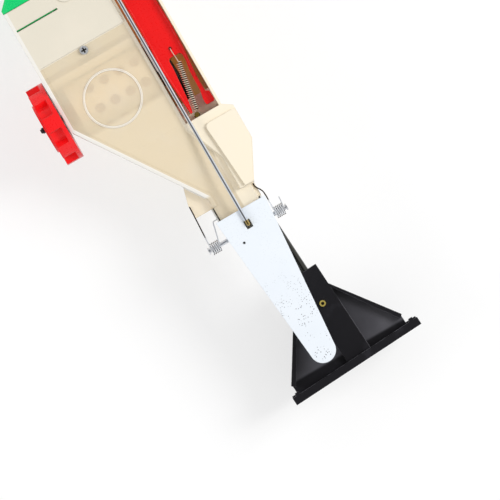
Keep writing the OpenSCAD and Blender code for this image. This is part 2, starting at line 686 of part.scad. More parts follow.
module slider() color(red) difference() {
    union() {
        slab(slider_front, slider_back) polygon(concat(left_edge,
            arc([left_toe, prong_z + prong_r], prong_r, 270, 330, 3), left_inside,
            arc([crotch_x[0], crotch_z - crotch_r], crotch_r, 180, 90, 4),
            arc([crotch_x[1], crotch_z - crotch_r], crotch_r, 90, 0, 4),
            right_inside, arc([right_toe[0], prong_z + toe_r], toe_r, 180, 270, 3),
            arc([right_toe[1], prong_z + toe_r], toe_r, 270, 360, 3), right_ankle, right_edge));
        // raised edges
        slab(slider_front - edge_relief, slider_front + 4) polygon(concat(left_edge, left_relief));
        slab(slider_front - edge_relief, slider_front + 4) polygon(concat(right_edge, right_relief));
        // lug round the head of the shaft
        box([lug_left, slider_back - 1, lug_low], [lug_right, lug_back, lug_high]);
        // arm for the pull-rod
        box([channel_left + 0.8, rod_y + 3.95, arm_z], [10, slider_back - 2, arm_z + arm_h]);
        box([part_x + 1.4, rod_y - 4.05, arm_z], [4.6, rod_y + 4.55, arm_z + arm_h]);
    }
    // slot for the leaning shaft, hole for the spring, hole for the pull-rod
    translate([lug_x, shaft_y, lug_low - 4]) cylinder(h = 20, r = lug_slot);
    box([part_x, shaft_y - lug_slot, lug_low - 4], [lug_x, shaft_y + lug_slot, lug_high + 8]);
    ycyl(hook[0], hook[1], slider_front - 6, slider_front + 9, 1.4);
    translate([0, rod_y, arm_z - 5]) cylinder(h = 20, r = rod_d / 2 + gap);
}
pawl_y = -ratchet_r - 0.9;
pawl_root = left_edge[0][0];
pawl_tip = 322;
pawl_top = 352;
module pawl() color(steel) slab(pawl_y - 2.6, pawl_y)
    polygon([[channel_left + 1.2, pawl_top], [channel_left + 1.2, pawl_tip], [channel_left + 3, pawl_tip],
        [0, pawl_top - 8], [pawl_root, pawl_top - 6], [pawl_root, pawl_top + 4]]);

module pull_rod() color(steel) union() {
    translate([0, rod_y, rod_low]) cylinder(h = rod_len, r = rod_d / 2);
    translate([0, rod_y, rod_low]) sphere(r = rod_d / 2);
    ycyl(0, rod_low, rod_y, hinge_y - 4.5, rod_d / 2);
}
module rod_collar() color(brass) translate([0, rod_y, arm_z + arm_h + stroke + gap]) difference() {
    cylinder(h = 7, r = rod_d / 2 + 2.25);
    translate([0, 0, -1]) cylinder(h = 9, r = rod_d / 2);
}

// Metering drum and everything that turns with it
module seed_drum() color(cream) difference() {
    union() {
        xcyl(drum_left, drum_right, 0, drum_z, drum_r);
        xcyl(hub_left, drum_left + 1, 0, drum_z, axle_d / 2 + 5);
    }
    xcyl(hub_left - 1, drum_right + 1, 0, drum_z, axle_d / 2);
    difference() {
        xcyl(drum_left + 7, drum_right + 1, 0, drum_z, drum_r - 9);
        xcyl(drum_left + 6, drum_right + 2, 0, drum_z, axle_d / 2 + 5);
    }
    for (i = [0:cell_columns - 1]) for (k = [0:cell_count - 1])
        translate([part_x - 10 - cell_pitch * i, 0, drum_z]) rotate([360 / cell_count * k + 20, 0, 0])
            translate([0, 0, drum_r + 0.6]) sphere(r = cell_r, $fn = 16);
}
module drum_axle() color(steel) xcyl(knob_end, channel_left + 4, 0, drum_z, axle_d / 2);
ratchet_teeth = 16;
module ratchet_wheel() color(black) difference() {
    prof(channel_left + 0.7, channel_left + 3.7) translate([0, drum_z]) polygon([
        for (k = [0:ratchet_teeth - 1]) for (tooth = [[0, ratchet_r - 4], [3, ratchet_r]])
            let (a = 360 / ratchet_teeth * k + tooth[0]) tooth[1] * [sin(a), cos(a)]]);
    xcyl(channel_left - 2, channel_left + 6, 0, drum_z, axle_d / 2);
}
knob_lobes = 8;
lobe_w = 14;
lobe_h = 7.5;
knob_flange = 4;
module knob() color(red) difference() {
    union() {
        xcyl(knob_x - knob_flange, knob_x, 0, drum_z, knob_r);
        xcyl(knob_x - knob_w, knob_x - knob_flange + 1, 0, drum_z, knob_r - lobe_h);
        intersection() {
            xcyl(knob_x - knob_w, knob_x - knob_flange + 1, 0, drum_z, knob_r);
            for (k = [0:knob_lobes / 2 - 1]) translate([knob_x - knob_w / 2, 0, drum_z])
                rotate([360 / knob_lobes * k, 0, 0]) cube([2 * knob_w, lobe_w, 3 * knob_r], center = true);
        }
        xcyl(knob_end, knob_x - knob_w + 1, 0, drum_z, knob_r - 2 * lobe_h + 0.5);
    }
    xcyl(knob_end - 9, knob_x + 9, 0, drum_z, axle_d / 2);
}
module knob_screw() color(black) union() {
    xcyl(knob_end - 2.8, knob_end, 0, drum_z, axle_d / 2 - 1.2);
    xcyl(knob_end - 4.2, knob_end - 2.7, 0, drum_z, axle_d / 2 - 2);
}

// Translucent lid: a plug in the filling mouth under a sloping hood
lid_t = 2;
lid_left = -body_left;
lid_right = spine_left - 1.4;
plug_left = -body_left + wall + gap;
plug_right = mouth_right - gap;
plug_half = inner_half - gap;
hood_z = body_top + gap;
hood_top = 482;
module hopper_lid() color(green) difference() {
    union() {
        box([plug_left, -plug_half, slit_z], [plug_right, plug_half, hood_z + 1.6]);
        slab(-body_half, body_half) polygon([[lid_left, hood_z], [lid_right, hood_z], [lid_right, hood_top],
            [lid_right - 5.6, hood_top], [lid_left, hood_z + 3.4]]);
    }
    box([plug_left + lid_t, -plug_half + lid_t, slit_z - 1],
        [plug_right - lid_t, plug_half - lid_t, hood_z + 1.6]);
    slab(-body_half + lid_t, body_half - lid_t) polygon([[plug_left + lid_t, hood_z + 0.6],
        [plug_right - lid_t, hood_z + 0.6], [plug_right - lid_t, hood_z + 3.6],
        [lid_right - lid_t, hood_z + 4.6], [lid_right - lid_t, hood_top - lid_t],
        [lid_right - 4.8, hood_top - lid_t], [plug_left + lid_t, hood_z + 5.4]]);
}

front_shell();
rear_shell();
guide_cover();
shell_screw_1();
shell_screw_2();
shell_screw_3();
shell_screw_4();
seed_wiper();
ratchet_leaf();
axle_bush_left();
axle_bush_right();
shaft_bush();
spring_pin();
return_spring();
beak_rear();
beak_screw_left();
beak_screw_right();
hinge_stub_left();
hinge_stub_right();
torsion_spring_left();
torsion_spring_right();
handle();
grip_sleeve();
handle_screw_left();
handle_screw_right();
foot_shaft();
foot();
foot_screw();
shaft_clip_upper();
shaft_clip_lower();
slider();
pawl();
pull_rod();
rod_collar();
beak_flap();
seed_drum();
drum_axle();
ratchet_wheel();
knob();
knob_screw();
hopper_lid();
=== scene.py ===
# %% [markdown]
# A jab planter, dressed for its portrait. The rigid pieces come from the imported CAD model
# and stay as they are. This lesson gives each of them a finish, winds the springs as fine
# wire, and sets up the floor, the light and the camera.

import bpy
import numpy as np
from mathutils import Matrix, Vector


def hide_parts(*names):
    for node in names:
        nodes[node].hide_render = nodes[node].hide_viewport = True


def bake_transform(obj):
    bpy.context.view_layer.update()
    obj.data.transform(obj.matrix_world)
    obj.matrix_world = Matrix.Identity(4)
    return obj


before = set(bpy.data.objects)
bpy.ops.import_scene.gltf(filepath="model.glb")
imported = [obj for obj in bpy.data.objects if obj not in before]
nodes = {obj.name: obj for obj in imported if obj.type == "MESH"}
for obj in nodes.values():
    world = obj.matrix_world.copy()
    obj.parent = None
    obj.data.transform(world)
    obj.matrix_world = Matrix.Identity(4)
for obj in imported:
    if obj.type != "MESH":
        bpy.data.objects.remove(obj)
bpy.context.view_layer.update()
MM = 0.001

# %% [markdown]
# The planter lies flat and is seen from straight above, so the camera looks along +Y.
# The picture is turned: its upward direction leans 30 degrees from the tool's own axis.
# A long lens far away keeps the perspective as mild as a product photograph's.

# %% Camera
FRAME_WIDTH = 0.45
CAMERA_DISTANCE = 4.0
SENSOR = 36.0
FRONT_PLANE = -0.034
PICTURE_MIDDLE = (-0.0104, 0.1409)
TILT = np.radians(30)

camera = bpy.data.objects.new("portrait_camera", bpy.data.cameras.new("portrait_camera"))
bpy.context.scene.collection.objects.link(camera)
camera.data.sensor_width = SENSOR
camera.data.lens = SENSOR * CAMERA_DISTANCE / FRAME_WIDTH
right = Vector((np.cos(TILT), 0, -np.sin(TILT)))
up = Vector((np.sin(TILT), 0, np.cos(TILT)))
back = Vector((0, -1, 0))
place = Vector((PICTURE_MIDDLE[0], FRONT_PLANE - CAMERA_DISTANCE, PICTURE_MIDDLE[1]))
camera.matrix_world = Matrix.Translation(place) @ Matrix((right, up, back)).transposed().to_4x4()
bpy.context.scene.camera = camera
print("lens:", round(camera.data.lens, 1), "mm")

# %% [markdown]
# A finish is a small graph of shader nodes. Writing such a graph as Python expressions
# keeps it readable: a Value wraps one socket, and adding or multiplying Values adds the
# Math nodes. Every other node comes from one method, which sets the node up and links it.
#
# Most masks are made of borders. A border is written as a pair: a place along an axis, and
# the width of the ramp that follows it.

# %% A Value wraps a socket, a Finish wraps a material's graph
BUMP_DEPTH = 0.0004
BEVEL_SAMPLES = 6
EDGE_LEAN = (0.02, 0.1)
FROM_X_AXIS = (0, 1, 1)
FROM_Y_AXIS = (1, 0, 1)


class Value:
    """One output socket. Arithmetic on it adds Math nodes to the same graph."""

    def __init__(self, graph, socket):
        self.graph = graph
        self.socket = socket

    def maths(self, operation, first, second):
        return self.graph.node("ShaderNodeMath", {"operation": operation}, {0: first, 1: second})

    def __add__(self, other):
        return self.maths("ADD", self, other)

    def __sub__(self, other):
        return self.maths("SUBTRACT", self, other)

    def __rsub__(self, other):
        return self.maths("SUBTRACT", other, self)

    def __mul__(self, other):
        return self.maths("MULTIPLY", self, other)

    def least(self, other):
        return self.maths("MINIMUM", self, other)

    def most(self, other):
        return self.maths("MAXIMUM", self, other)

    def above(self, edge, soft):
        """0 below edge, 1 above edge + soft, with a smooth ramp between."""
        ramp = {"interpolation_type": "SMOOTHSTEP"}
        return self.graph.node("ShaderNodeMapRange", ramp, {0: self, 1: edge, 2: edge + soft})

    def below(self, edge, soft):
        """1 below edge, 0 above edge + soft, with a smooth ramp between."""
        return 1 - self.above(edge, soft)

    def between(self, low, high, soft):
        """1 from low + soft to high, and 0 below low and above high + soft."""
        return self.above(low, soft) * self.below(high, soft)

    def spread(self, low, high):
        """Turns 0 into low and 1 into high."""
        return self * (high - low) + low

    __radd__ = __add__
    __rmul__ = __mul__


class Graph:
    """A node tree. Its axis method reads from where, a place or a direction."""

    def __init__(self, tree, coordinates):
        self.tree = tree
        self.where = self.node("ShaderNodeTexCoord", out=coordinates)

    def node(self, kind, settings=None, sockets=None, out=0):
        """Adds a node: settings first, then each socket's value or link."""
        made = self.tree.nodes.new(kind)
        for key, value in (settings or {}).items():
            setattr(made, key, value)
        for key, value in (sockets or {}).items():
            self.feed(made.inputs[key], value)
        return Value(self, made.outputs[out])

    def feed(self, socket, value):
        if isinstance(value, Value):
            self.tree.links.new(value.socket, socket)
        elif value is not None:
            socket.default_value = value

    def axis(self, letter):
        return self.node("ShaderNodeSeparateXYZ", None, {0: self.where}, "XYZ".index(letter))

    def rays(self, kind):
        """1 for the rays of that kind, such as Is Camera Ray, and 0 for the others."""
        return self.node("ShaderNodeLightPath", out=kind)


class Finish(Graph):
    """A material with one Principled shader, and the graph that feeds it."""

    def __init__(self, name):
        self.material = bpy.data.materials.new(name)
        self.material.use_nodes = True
        self.shader = self.material.node_tree.nodes["Principled BSDF"]
        super().__init__(self.material.node_tree, "Object")

    def set(self, **sockets):
        """Feeds the shader's sockets; base_color stands for Base Color."""
        for key, value in sockets.items():
            self.feed(self.shader.inputs[key.replace("_", " ").title().replace("Ior", "IOR")], value)
        return self

    def stretched(self, scale):
        return self.node("ShaderNodeMapping", None, {"Vector": self.where, "Scale": scale})

    def distance(self, flattening, point):
        """Distance from a point, after the axes whose flattening is 0 are left out."""
        sockets = {0: self.stretched(flattening), 1: point}
        return self.node("ShaderNodeVectorMath", {"operation": "DISTANCE"}, sockets, "Value")

    def noise(self, scale, detail=3.0, roughness=0.5, where=None):
        sockets = {"Vector": where or self.where, "Scale": scale, "Detail": detail, "Roughness": roughness}
        return self.node("ShaderNodeTexNoise", None, sockets)

    def mix(self, share, first, second):
        """A colour between first and second."""
        return self.node("ShaderNodeMix", {"data_type": "RGBA"}, {0: share, 6: first, 7: second}, 2)

    def bump(self, height, strength, normal=None):
        sockets = {"Strength": strength, "Distance": BUMP_DEPTH, "Height": height, "Normal": normal}
        return self.node("ShaderNodeBump", None, sockets)

    def soft_edges(self, radius, height=None, strength=0.0):
        """A normal rounded over edges of that radius, with a bump on top."""
        rounded = self.node("ShaderNodeBevel", {"samples": BEVEL_SAMPLES}, {"Radius": radius})
        return rounded if height is None else self.bump(height, strength, rounded)

    def edges(self, radius):
        """1 on edges and 0 on flat ground: how far the rounded normal leans from the true one."""
        sockets = {0: self.soft_edges(radius), 1: self.node("ShaderNodeNewGeometry", out="Normal")}
        alike = self.node("ShaderNodeVectorMath", {"operation": "DOT_PRODUCT"}, sockets, "Value")
        return (1 - alike).above(*EDGE_LEAN)


def colour(red, green, blue):
    """A colour written as on screen, 0 to 255, turned into the shader's linear light."""
    share = np.array([red, green, blue]) / 255
    linear = np.where(share <= 0.04045, share / 12.92, ((share + 0.055) / 1.055) ** 2.4)
    return (*(float(x) for x in linear), 1.0)


def dress(finish, *names):
    """Gives CAD nodes a finish."""
    for name in names:
        mesh = nodes[name].data
        mesh.materials.clear()
        mesh.materials.append(finish.material)


# %% [markdown]
# The housing is moulded from unpigmented plastic: ivory where it is thick, and clear
# enough in front of the drum to show it. Real wall depth could be traced with
# transmission, but that needs many samples. Here the walls let a share of the light
# straight through: most in the window before the drum, less over the funnel, and little
# elsewhere. The moulded rims and the ring are thicker, so they are more opaque, and their
# near-white colour is a painted highlight along their edges. The amber inside the slider's
# channel is a painted glow of light passing through the walls, warmest furthest back, and
# the channel's thin right wall lets much light through.

# %% Ivory housing
STEP = (0.3745, 0.0012)
PARTITION = (-0.0075, 0.002)
FUNNEL_TOP = 0.262
FUNNEL_DROP = 0.027
FUNNEL_SLOPE = 0.41
WINDOW_FOOT = (0.298, 0.006)
WINDOW_TOP = (0.35, 0.012)
WINDOW_FADED = 0.3
LEFT_WALL = -0.097
KNEE = (LEFT_WALL, 0.313)
NECK_CORNER = (-0.020, 0.199)
RIM_OUTER = (-0.0012, 0.0004)
RIM_INNER = (0.003, 0.0006)
RIM_FOOT = (NECK_CORNER[1], 0.004)
RING_MIDDLE = (-0.049, 0.0, 0.321)
RING = (0.0250, 0.0270, 0.0003)
RING_GROOVE = (0.0257, 0.0264, 0.0003)
GROOVE_SHARE = 0.6
FRONT_FACE = (-0.0314, 0.0004)
CHANNEL_FOOT = (0.269, 0.002)
CHANNEL_TOP = (0.58, 0.02)
CHANNEL_BACK = (0.0299, 0.0003)
CHANNEL_SKIN = (0.0312, 0.0003)
CHANNEL_PAINTED_GLOW = (-0.004, 0.02)
SIDE_INSIDE = (0.0302, 0.0002)
SIDE_FRONT = (-0.0299, 0.004)
SIDE_BACK = (0.0179, 0.012)
SIDE_ALPHA = 0.36
RIGHT_FILL = 0.7
CLOUDS = (0.42, 0.4)
CLOUD_SHARE = 0.4
IVORY_GRAIN = 900.0
IVORY_RIPPLE = 260.0

slope = np.array(NECK_CORNER) - np.array(KNEE)
slope_in = np.array([-slope[1], slope[0]]) / np.linalg.norm(slope)


def thick_and_highlit_places(plastic, across, depth, height):
    """1 on the rims and the ring, which are thicker and carry a painted highlight. A rim's mask is the least
    distance from left wall and slope.
    """
    from_slope = (across - KNEE[0]) * float(slope_in[0]) + (height - KNEE[1]) * float(slope_in[1])
    from_edge = (across - LEFT_WALL).least(from_slope)
    rim = from_edge.below(*RIM_INNER) * from_edge.above(*RIM_OUTER) * height.above(*RIM_FOOT)
    from_middle = plastic.distance(FROM_Y_AXIS, RING_MIDDLE)
    ring = from_middle.between(*RING) - from_middle.between(*RING_GROOVE) * GROOVE_SHARE
    return rim.most(ring * depth.below(*FRONT_FACE))


def ivory(name, wall_alpha, funnel_alpha, window_alpha):
    """Ivory plastic. Masks along its axes give each place its colour and its opacity."""
    plastic = Finish(name)
    across, depth, height = (plastic.axis(letter) for letter in "XYZ")
    thick_and_highlit = thick_and_highlit_places(plastic, across, depth, height)
    divided = across - (FUNNEL_TOP - height).most(0.0).least(FUNNEL_DROP) * FUNNEL_SLOPE
    right_half = divided.above(*PARTITION)
    chamber = height.below(*STEP) * (1 - right_half)
    window = chamber * height.above(*WINDOW_FOOT) * height.above(*WINDOW_TOP).spread(1.0, WINDOW_FADED)
    channel = right_half * height.above(*CHANNEL_FOOT) * height.below(*CHANNEL_TOP)
    inner = channel * depth.below(*CHANNEL_BACK) * across.below(*CHANNEL_SKIN)
    side = channel * across.above(*SIDE_INSIDE) * depth.above(*SIDE_FRONT) * depth.below(*SIDE_BACK)

    body = plastic.mix(right_half, colour(243, 236, 219), colour(255, 244, 221))
    # Painted glow: the channel's inside faces turn amber with depth, for light passing through the walls.
    body = plastic.mix(inner * depth.above(*CHANNEL_PAINTED_GLOW), body, colour(255, 192, 92))
    tint = plastic.mix(chamber, body, colour(255, 240, 210))
    clouds = plastic.noise(30.0).above(*CLOUDS) * CLOUD_SHARE
    cloudy = plastic.mix(clouds, tint, colour(252, 243, 226))
    # The rims and the ring are painted nearly white: a painted highlight along their edges.
    plastic.set(base_color=plastic.mix(thick_and_highlit, cloudy, colour(254, 251, 244)))

    clear = chamber * (wall_alpha - funnel_alpha) + window * (funnel_alpha - window_alpha)
    filled = wall_alpha + right_half * ((1 - wall_alpha) * RIGHT_FILL)
    plastic.set(alpha=filled - clear * (1 - thick_and_highlit) - side * (wall_alpha - SIDE_ALPHA))
    plastic.set(roughness=plastic.noise(IVORY_GRAIN, 2.0).spread(0.27, 0.39), specular_ior_level=0.4)
    plastic.set(normal=plastic.soft_edges(0.0011, plastic.noise(IVORY_RIPPLE), 0.05))
    return plastic


front_ivory = ivory("ivory_front", wall_alpha=0.85, funnel_alpha=0.64, window_alpha=0.46)
rear_ivory = ivory("ivory_rear", wall_alpha=0.76, funnel_alpha=0.84, window_alpha=0.84)
dress(front_ivory, "front_shell", "guide_cover")
dress(rear_ivory, "rear_shell")
print("ivory housing dressed")

# %% [markdown]
# The slider and the knob are glossy red mouldings. A thin clear coat gives the tight
# highlights of a polished mould, a faint ripple keeps long reflections from looking drawn,
# and the edges carry a painted highlight: a paler red, broken up by a noise.

# %% Red mouldings
RED_EDGE_HIGHLIGHT = (0.3, 0.3)
RED_EDGE_HIGHLIGHT_SHARE = 0.6


def glossy_red(name, deep, bright):
    """Red plastic between deep and bright, with a painted highlight on its edges, under a thin coat."""
    plastic = Finish(name)
    ripple = plastic.noise(60.0, 2.0)
    # Painted highlight: the edges are mixed towards a pale red, in patches.
    pale_edges = plastic.edges(0.0007) * plastic.noise(120.0).above(*RED_EDGE_HIGHLIGHT) * RED_EDGE_HIGHLIGHT_SHARE
    tone = plastic.mix(pale_edges, plastic.mix(ripple, deep, bright), colour(255, 112, 104))
    plastic.set(base_color=tone, roughness=plastic.noise(500.0).spread(0.24, 0.32))
    plastic.set(coat_weight=0.2, coat_roughness=0.12, specular_ior_level=0.3)
    plastic.set(normal=plastic.soft_edges(0.0015, ripple, 0.05))
    return plastic


dress(glossy_red("red_slider", colour(236, 16, 18), colour(248, 25, 25)), "slider")
dress(glossy_red("red_knob", colour(246, 20, 24), colour(255, 30, 34)), "knob")
print("red mouldings dressed")

# %% [markdown]
# The foot and the grip are black plastic from a grained mould. The grain is a fine noise
# in the normal, worn places are a little smoother and paler, and the edges are paler grey,
# from wear together with a painted highlight. The foot's recessed webs are painted lighter
# as a painted sheen, fading upwards, and the band just above the sole stays dark as a
# painted shadow of the lip.

# %% Black mouldings
SHEEN_FOOT = (0.015, 0.003)
SHEEN_TOP = (0.0, 0.11)
HOLLOW = (0.011, 0.002)
WORN = (0.55, 0.2)
BLACK_PALE_EDGES = (0.4, 0.2)
BLACK_PALE_EDGES_SHARE = 0.7

black = Finish("black_moulding")
grain = black.noise(1400.0, 2.0)
worn = black.noise(45.0, 5.0, 0.65).above(*WORN)
height = black.axis("Z")
# Painted sheen on the foot's recessed webs, fading upwards; the band just above the sole is left dark as a
# painted shadow of the lip.
painted_sheen = height.above(*SHEEN_FOOT) * height.below(*SHEEN_TOP) * black.axis("Y").above(*HOLLOW)
# Paler edges: wear together with a painted highlight along them.
pale_edges = black.edges(0.0009) * black.noise(90.0, 4.0).above(*BLACK_PALE_EDGES) * BLACK_PALE_EDGES_SHARE
clean = black.mix(worn, colour(25, 24, 28), colour(40, 39, 44))
sheen_tone = black.mix(black.noise(28.0, 4.0), colour(58, 57, 63), colour(108, 107, 113))
tone = black.mix(pale_edges, black.mix(painted_sheen, clean, sheen_tone), colour(112, 111, 117))
black.set(base_color=tone, roughness=worn.spread(0.4, 0.28), specular_ior_level=0.35)
black.set(normal=black.soft_edges(0.0008, grain, 0.12))
dress(black, "foot", "handle", "grip_sleeve", "ratchet_wheel", "knob_screw")
print("black mouldings dressed")

# %% [markdown]
# The beak is sheet steel under white paint. Seen close it is speckled with small dark
# chips, more of them towards the tip, which works in the soil. A Voronoi cell pattern
# places the chips, and a noise thins them out.

# %% White painted beak
CHIP_SCALE = 560.0
CHIP_SIZE = (0.2, 0.08)
CHIP_PATCHES = (0.48, 0.06)
CHIPPED_BELOW = (0.05, 0.07)
CHIPS_ABOVE = 0.08

paint = Finish("white_paint")
cells = paint.node("ShaderNodeTexVoronoi", None, {"Vector": paint.where, "Scale": CHIP_SCALE})
lower = paint.axis("Z").below(*CHIPPED_BELOW)
patches = paint.noise(70.0, 5.0, 0.6).above(*CHIP_PATCHES)
chips = cells.below(*CHIP_SIZE) * patches * lower.spread(CHIPS_ABOVE, 1.0)
tone = paint.mix(paint.noise(26.0), colour(235, 242, 250), colour(244, 249, 254))
paint.set(base_color=paint.mix(chips, tone, colour(38, 38, 42)), roughness=chips.spread(0.3, 0.6))
paint.set(coat_weight=0.2, normal=paint.soft_edges(0.0007, chips, 0.15))
dress(paint, "beak_flap", "beak_rear")
print("painted beak dressed")

# %% [markdown]
# Drawn rods carry fine lines along their length, from a noise stretched along Z. Small
# steel parts are duller, and the foot's oiled shaft is dark.

# %% Bright metals
EVEN = (1.0, 1.0, 1.0)
DRAWN = (1.0, 1.0, 0.05)


def metal(name, pale, dark, along, dull=0.14):
    """Metal between pale and dark, with lines stretched by along. It is rougher when dull."""
    bright = Finish(name)
    lines = bright.noise(600.0, 2.0, where=bright.stretched(along))
    bright.tone = bright.mix(lines, dark, pale)
    bright.set(base_color=bright.tone, metallic=1.0, roughness=lines.spread(0.8 * dull, 1.4 * dull))
    bright.set(normal=bright.bump(lines, 0.02))
    return bright


steel = metal("bright_steel", colour(246, 248, 252), colour(214, 218, 224), EVEN, 0.4)
shaft_steel = metal("oiled_steel", colour(88, 88, 84), colour(40, 40, 38), DRAWN)
brass = metal("plated_brass", colour(226, 194, 104), colour(176, 138, 62), EVEN, 0.3)
steel_nodes = [
    "shell_screw_4", "ratchet_leaf", "beak_screw_left", "beak_screw_right", "hinge_stub_left",
    "hinge_stub_right", "shaft_clip_upper", "shaft_clip_lower", "pawl", "drum_axle",
]
dress(steel, *steel_nodes)
dress(shaft_steel, "foot_shaft")
dress(brass, "axle_bush_left", "axle_bush_right", "shaft_bush", "spring_pin", "rod_collar")
print("steel nodes:", len(steel_nodes))

# %% [markdown]
# The pull-rod's bent end is brazed. The screws that face the front have painted shade in
# their recesses: what lies near a screw's axis and deeper than its head's face is dark.

# %% Pull-rod and front screws
BRAZED_BELOW = (0.1655, 0.0006)
RECESS_DEPTH = 0.0005
RECESS_SOFT = 0.0002
WIDE_RECESS = 0.0027
SMALL_RECESS = 0.001485

rod_steel = metal("drawn_steel", colour(240, 243, 248), colour(206, 212, 222), DRAWN, 0.05)
brazed = rod_steel.axis("Z").below(*BRAZED_BELOW)
rod_steel.set(base_color=rod_steel.mix(brazed, rod_steel.tone, colour(180, 156, 98)))
dress(rod_steel, "pull_rod")


def front_screw(name, pale, dark, reach):
    """Dresses a screw, with painted shade in its recess as far as reach from the axis."""
    corners = np.array([list(corner) for corner in nodes[name].bound_box])
    face = corners.min(axis=0)
    middle = (face + corners.max(axis=0)) / 2
    screw = metal(name + "_metal", pale, dark, EVEN, 0.35)
    near = screw.distance(FROM_Y_AXIS, (float(middle[0]), 0.0, float(middle[2]))).below(reach, RECESS_SOFT)
    recess_shade = near * screw.axis("Y").above(float(face[1]) + RECESS_DEPTH, RECESS_SOFT)
    # Painted shade: the recess is mixed towards a dark brown.
    screw.set(base_color=screw.mix(recess_shade, screw.tone, colour(52, 46, 40)), metallic=0.7)
    dress(screw, name)


for name in ("shell_screw_1", "shell_screw_2", "shell_screw_3", "handle_screw_left", "handle_screw_right"):
    front_screw(name, colour(248, 249, 252), colour(222, 226, 230), WIDE_RECESS)
front_screw("foot_screw", colour(250, 232, 130), colour(226, 196, 96), SMALL_RECESS)
print("rod and screws dressed")

# %% [markdown]
# The springs are plated wire, pale in front and dark further back, where the dark is
# painted shade, so that the turns stand out.

# %% Spring wire
RETURN_SHADE_DEPTH = (-0.0248, 0.001)
TORSION_SHADE_DEPTH = (-0.0253, 0.001)


def plated_wire(name, pale, dark, shade_depth):
    """Plated steel, with painted shade behind that border of depth."""
    wire = metal(name, pale, dark, EVEN, 0.3)
    # Painted shade: the back of the coil is mixed towards dark brown.
    shaded_back = wire.axis("Y").above(*shade_depth)
    wire.set(base_color=wire.mix(shaded_back, wire.tone, colour(44, 32, 25)), metallic=0.8)
    return wire


return_steel = plated_wire("return_spring_steel", colour(255, 250, 236), colour(238, 228, 202), RETURN_SHADE_DEPTH)
spring_steel = plated_wire("spring_steel", colour(250, 251, 253), colour(226, 228, 232), TORSION_SHADE_DEPTH)
print("spring wire plated")

# %% [markdown]
# The seed drum is a duller moulding behind the ivory wall, with painted shade in its
# cells: what lies deeper than the drum's skin is darker. The lid is clear green.

# %% Drum and lid
DRUM_AXIS = (0.0, 0.0, 0.3285)
DRUM_SKIN = (0.0268, 0.0008)

drum = Finish("drum_plastic")
skin = drum.distance(FROM_X_AXIS, DRUM_AXIS).above(*DRUM_SKIN)
shell = drum.mix(drum.noise(80.0), colour(253, 238, 214), colour(246, 228, 202))
# Painted shade: what lies inside the skin, in the cells, is a darker brown.
drum.set(base_color=drum.mix(skin, colour(196, 150, 118), shell), roughness=0.5)
drum.set(normal=drum.soft_edges(0.0006))
dress(drum, "seed_drum", "seed_wiper")

lid = Finish("green_lid")
lid.set(base_color=lid.mix(lid.noise(40.0), colour(10, 212, 112), colour(26, 226, 130)), alpha=0.88)
lid.set(roughness=lid.noise(700.0).spread(0.22, 0.32), normal=lid.soft_edges(0.001))
dress(lid, "hopper_lid")
print("drum and lid dressed")

# %% [markdown]
# A spring is one wire wound along a path. The path is a formula in one parameter, and
# the wire is a circle carried along it. A circle set square to the path by a fixed
# direction would spin where the path turns past that direction, so the frame is carried
# from one station of the path to the next instead, which twists as little as possible.

# %% A wire along a path
WIRE_SIDES = 12
FIRST_NORMAL = (0.6, 0.53, 0.6)


def smooth_path(corners, stations):
    """Catmull-Rom curve through the corners, sampled at that many stations per stretch."""
    points = np.asarray(corners, float)
    padded = np.vstack([2 * points[0] - points[1], points, 2 * points[-1] - points[-2]])
    share = np.linspace(0, 1, stations, endpoint=False)[None, :, None]
    a, b, c, d = (padded[i:len(points) - 1 + i, None, :] for i in range(4))
    curve = 0.5 * (2 * b + (c - a) * share + (2 * a - 5 * b + 4 * c - d) * share**2
                   + (3 * b - a - 3 * c + d) * share**3)
    return np.vstack([curve.reshape(-1, 3), points[-1:]])


def wire_mesh(name, path, radius, finish):
    """Grid of stations by sides: station + radius * (cos * normal + sin * binormal)."""
    tangent = np.gradient(path, axis=0)
    tangent /= np.linalg.norm(tangent, axis=1, keepdims=True)
    normal = np.empty_like(path)
    guess = np.array(FIRST_NORMAL)
    for i, along in enumerate(tangent):
        guess = guess - along * (guess @ along)
        guess = guess / np.linalg.norm(guess)
        normal[i] = guess
    binormal = np.cross(tangent, normal)
    turn = np.linspace(0, 2 * np.pi, WIRE_SIDES, endpoint=False)[None, :, None]
    rings = path[:, None] + radius * (np.cos(turn) * normal[:, None] + np.sin(turn) * binormal[:, None])
    at = np.arange(len(path) * WIRE_SIDES).reshape(len(path), WIRE_SIDES)
    after = np.roll(at, -1, axis=1)
    quads = np.stack([at[:-1], after[:-1], after[1:], at[1:]], axis=-1).reshape(-1, 4)
    faces = [*quads.tolist(), at[0, ::-1].tolist(), at[-1].tolist()]
    mesh = bpy.data.meshes.new(name)
    mesh.from_pydata(rings.reshape(-1, 3).tolist(), [], faces)
    mesh.shade_smooth()
    piece = bpy.data.objects.new(name, mesh)
    bpy.context.scene.collection.objects.link(piece)
    mesh.materials.append(finish.material)
    return piece


# %% [markdown]
# The return spring hooks into the slider, winds down to the brass pin and ends in an eye
# round it. When the foot is pushed up the slider takes the hook with it. Its sizes are in
# millimetres.

# %% Return spring
SPRING_TURNS = 24
TURN_STATIONS = 20
LEG_STATIONS = 8
SPRING_WIRE = 0.9
SPRING_RADIUS = 2.6
SPRING_DEPTH = -24.0
HOOK_BENDS = [
    (0, 7, 0), (0, 3, 0), (0, 0, 0), (0, -1.2, -0.6), (0, -1.6, -2.2), (0.2, -1.6, -7), (0.5, -1.6, -11),
]
EYE_RADIUS = 2.5
EYE_SWEEP = (60, -180)
EYE_STATIONS = 25
EYE_LIFT = 0.8
EYE_LEAD = (0.4, -0.4, 0)

hook = np.array([18.0, SPRING_DEPTH, 334.6])
anchor = np.array([9.3, SPRING_DEPTH, 270.5])
coil_top = np.array([18.6, SPRING_DEPTH, 320.0])
coil_end = np.array([11.2, SPRING_DEPTH, 274.5])

